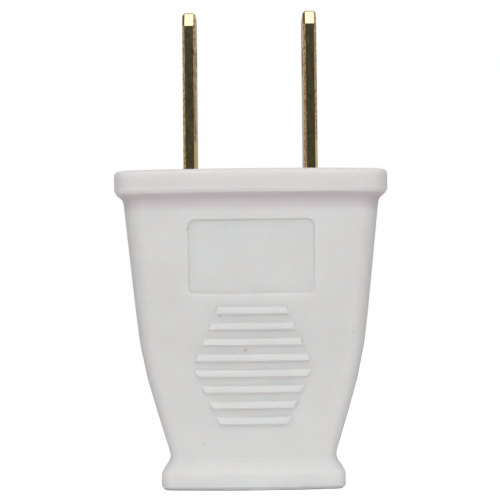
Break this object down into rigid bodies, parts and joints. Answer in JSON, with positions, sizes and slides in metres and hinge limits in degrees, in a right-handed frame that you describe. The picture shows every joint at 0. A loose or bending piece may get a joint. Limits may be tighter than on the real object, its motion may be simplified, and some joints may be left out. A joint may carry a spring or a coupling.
{
  "type": "polarized plug",
  "caption": "Flat-blade polarized mains plug: tapered soft white shell with grip ribs and flanged top, around a wiring core with brass blades and push-in spring clips.",
  "frame": {"origin": "centre of the cord end's flat face, the bottom of the bounding box", "axes": "+Z along the blades towards their tips; +X from the narrow blade to the wide one; -Y is the broad face with the bare panel"},
  "size_m": [0.0284, 0.0186, 0.05],
  "materials": {
    "shell_vinyl": "satin white soft vinyl",
    "core_plastic": "moulded off-white thermoplastic",
    "blade_brass": "stamped bright brass",
    "spring_steel": "rolled spring strip",
    "rivet_brass": "turned brass"
  },
  "bodies": {
    "root": {"outer_shell": "shell_vinyl", "core_body": "core_plastic", "core_retainer": "core_plastic", "blade_hot": "blade_brass", "blade_neutral": "blade_brass", "spring_clip_hot": "spring_steel", "spring_clip_neutral": "spring_steel", "rivet_hot": "rivet_brass", "rivet_neutral": "rivet_brass"}
  },
  "joints": []
}
